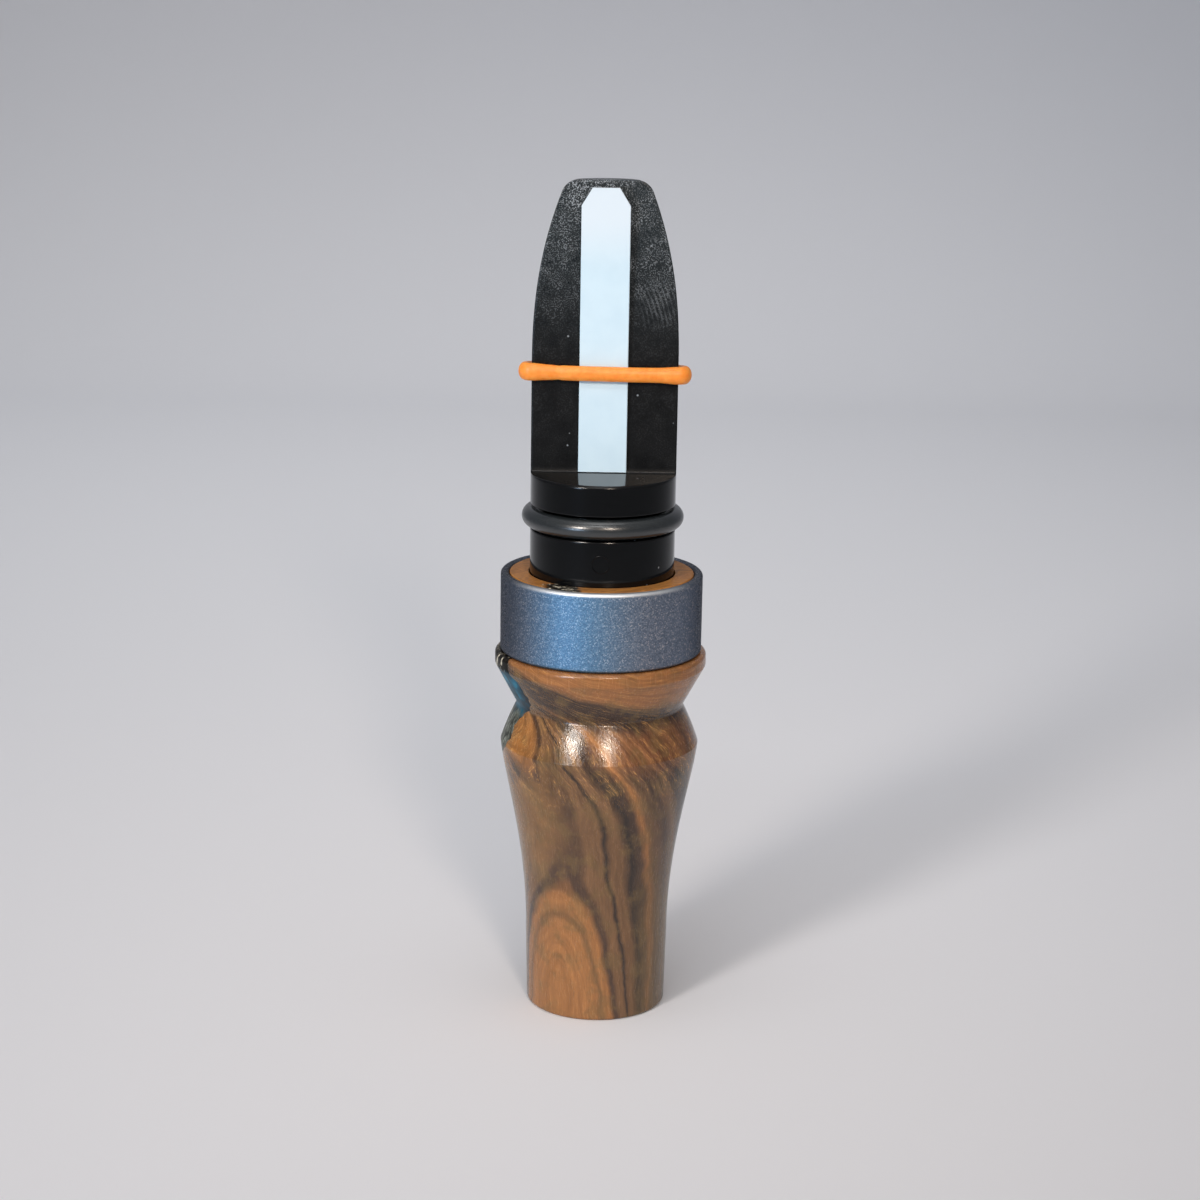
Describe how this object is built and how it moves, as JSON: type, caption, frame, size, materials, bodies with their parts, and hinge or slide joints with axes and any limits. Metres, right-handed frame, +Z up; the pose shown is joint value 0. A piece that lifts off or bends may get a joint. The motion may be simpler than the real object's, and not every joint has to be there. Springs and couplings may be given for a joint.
{
  "type": "elk call",
  "caption": "Open-reed elk call: turned hardwood barrel with a metal band, and a push-in moulded insert with film reed, elastic band and rubber rings.",
  "frame": {"origin": "centre of the base ring round the sound hole, on the surface that the call stands on", "axes": "+Z up the bore to the tip of the tongue, -Y out of the table that the reed lies on, +X to the right of someone facing the reed"},
  "size_m": [0.0234, 0.0234, 0.0923],
  "materials": {
    "hardwood": "figured hardwood, turned, oiled and polished",
    "resin": "blue cast resin, turned flush and polished",
    "anodised_aluminium": "fine-blasted, blue anodised aluminium",
    "black_moulding": "black moulded plastic, glossy shank and satin table",
    "black_rubber": "moulded black nitrile rubber",
    "white_film": "pale polyester film",
    "orange_rubber": "satin orange elastic rubber"
  },
  "bodies": {
    "barrel": {"barrel": "hardwood", "resin_fill": "resin", "metal_band": "anodised_aluminium"},
    "seal": {"lower_o_ring": "black_rubber"},
    "insert": {"toneboard": "black_moulding", "upper_o_ring": "black_rubber"},
    "reed": {"reed": "white_film"},
    "reed_band": {"reed_band": "orange_rubber"}
  },
  "joints": [
    {"name": "insert_pull", "type": "slide", "parent": "barrel", "child": "seal", "axis": [0, 0, 1], "range_m": [0, 0.02]},
    {"name": "insert_turn", "type": "hinge", "parent": "seal", "child": "insert", "pos_m": [0, 0, 0.04345], "axis": [0, 0, 1], "continuous": true},
    {"name": "reed_flex", "type": "hinge", "parent": "insert", "child": "reed", "pos_m": [0, -0.00028, 0.06583], "axis": [-1, 0, 0], "range_deg": [0, 1.8], "stiffness_Nm_per_rad": 0.01},
    {"name": "band_slide", "type": "slide", "parent": "insert", "child": "reed_band", "axis": [0, 0, 1], "range_m": [-0.003, 0.005]}
  ]
}
